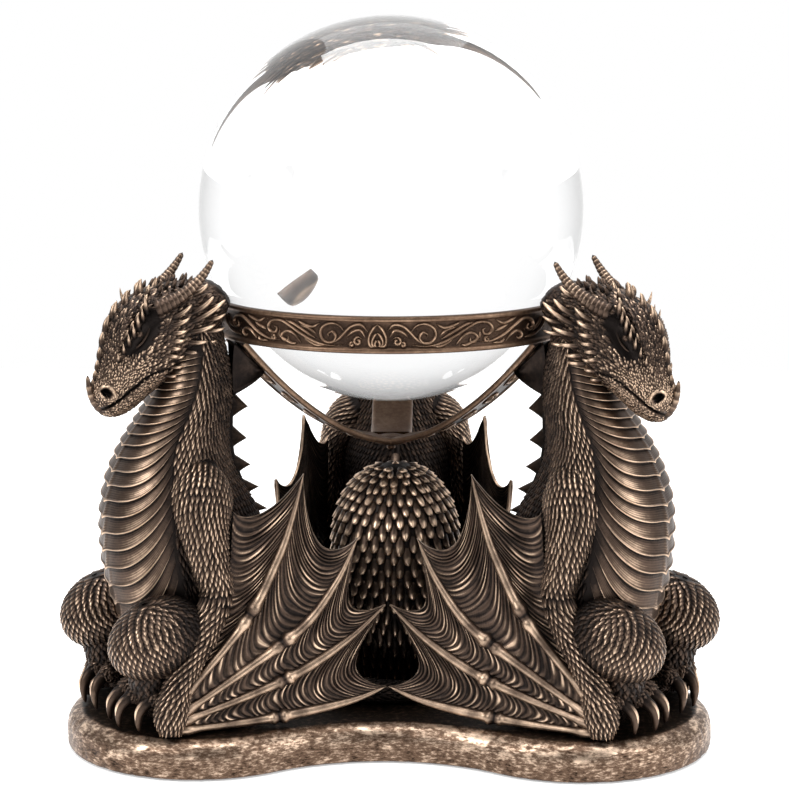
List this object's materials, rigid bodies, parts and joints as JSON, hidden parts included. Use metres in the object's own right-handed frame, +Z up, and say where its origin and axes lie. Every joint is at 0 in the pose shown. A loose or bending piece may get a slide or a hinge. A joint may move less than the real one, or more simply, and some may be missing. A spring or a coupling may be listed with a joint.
{
  "type": "crystal ball",
  "caption": "Clear glass crystal ball that lifts off a cast bronze-look stand: winged dragons around a scaly egg hold up an engraved ring for the ball.",
  "frame": {"origin": "centre of the felt pad's underside, on the axis of the ball, the ring and the egg", "axes": "+Z up along the ball's axis; -Y is the front, between two of the dragons; one dragon faces +Y"},
  "size_m": [0.187, 0.1676, 0.2024],
  "materials": {
    "cast_bronze": "cold-cast bronze, dark brown patina with rubbed bronze highlights",
    "ring_bronze": "cold-cast bronze, rubbed brighter, satin",
    "clear_glass": "polished clear glass",
    "felt": "black felt"
  },
  "bodies": {
    "stand": {"ball_ring": "ring_bronze", "base_plinth": "cast_bronze", "cradle_arm_1": "cast_bronze", "cradle_arm_2": "cast_bronze", "cradle_arm_3": "cast_bronze", "cradle_boss": "cast_bronze", "cradle_bracket_1": "cast_bronze", "cradle_bracket_2": "cast_bronze", "cradle_bracket_3": "cast_bronze", "dragon_1_back_crest": "cast_bronze", "dragon_1_head": "cast_bronze", "dragon_1_left_leg": "cast_bronze", "dragon_1_left_wing": "cast_bronze", "dragon_1_right_leg": "cast_bronze", "dragon_1_right_wing": "cast_bronze", "dragon_1_tail": "cast_bronze", "dragon_1_torso": "cast_bronze", "dragon_2_back_crest": "cast_bronze", "dragon_2_head": "cast_bronze", "dragon_2_left_leg": "cast_bronze", "dragon_2_left_wing": "cast_bronze", "dragon_2_right_leg": "cast_bronze", "dragon_2_right_wing": "cast_bronze", "dragon_2_tail": "cast_bronze", "dragon_2_torso": "cast_bronze", "dragon_3_back_crest": "cast_bronze", "dragon_3_head": "cast_bronze", "dragon_3_left_leg": "cast_bronze", "dragon_3_left_wing": "cast_bronze", "dragon_3_right_leg": "cast_bronze", "dragon_3_right_wing": "cast_bronze", "dragon_3_tail": "cast_bronze", "dragon_3_torso": "cast_bronze", "dragon_egg": "cast_bronze", "felt_pad": "felt"},
    "ball": {"crystal_ball": "clear_glass"}
  },
  "joints": [
    {"name": "ball_lift", "type": "slide", "parent": "stand", "child": "ball", "axis": [0, 0, 1], "range_m": [0, 0.08]}
  ]
}
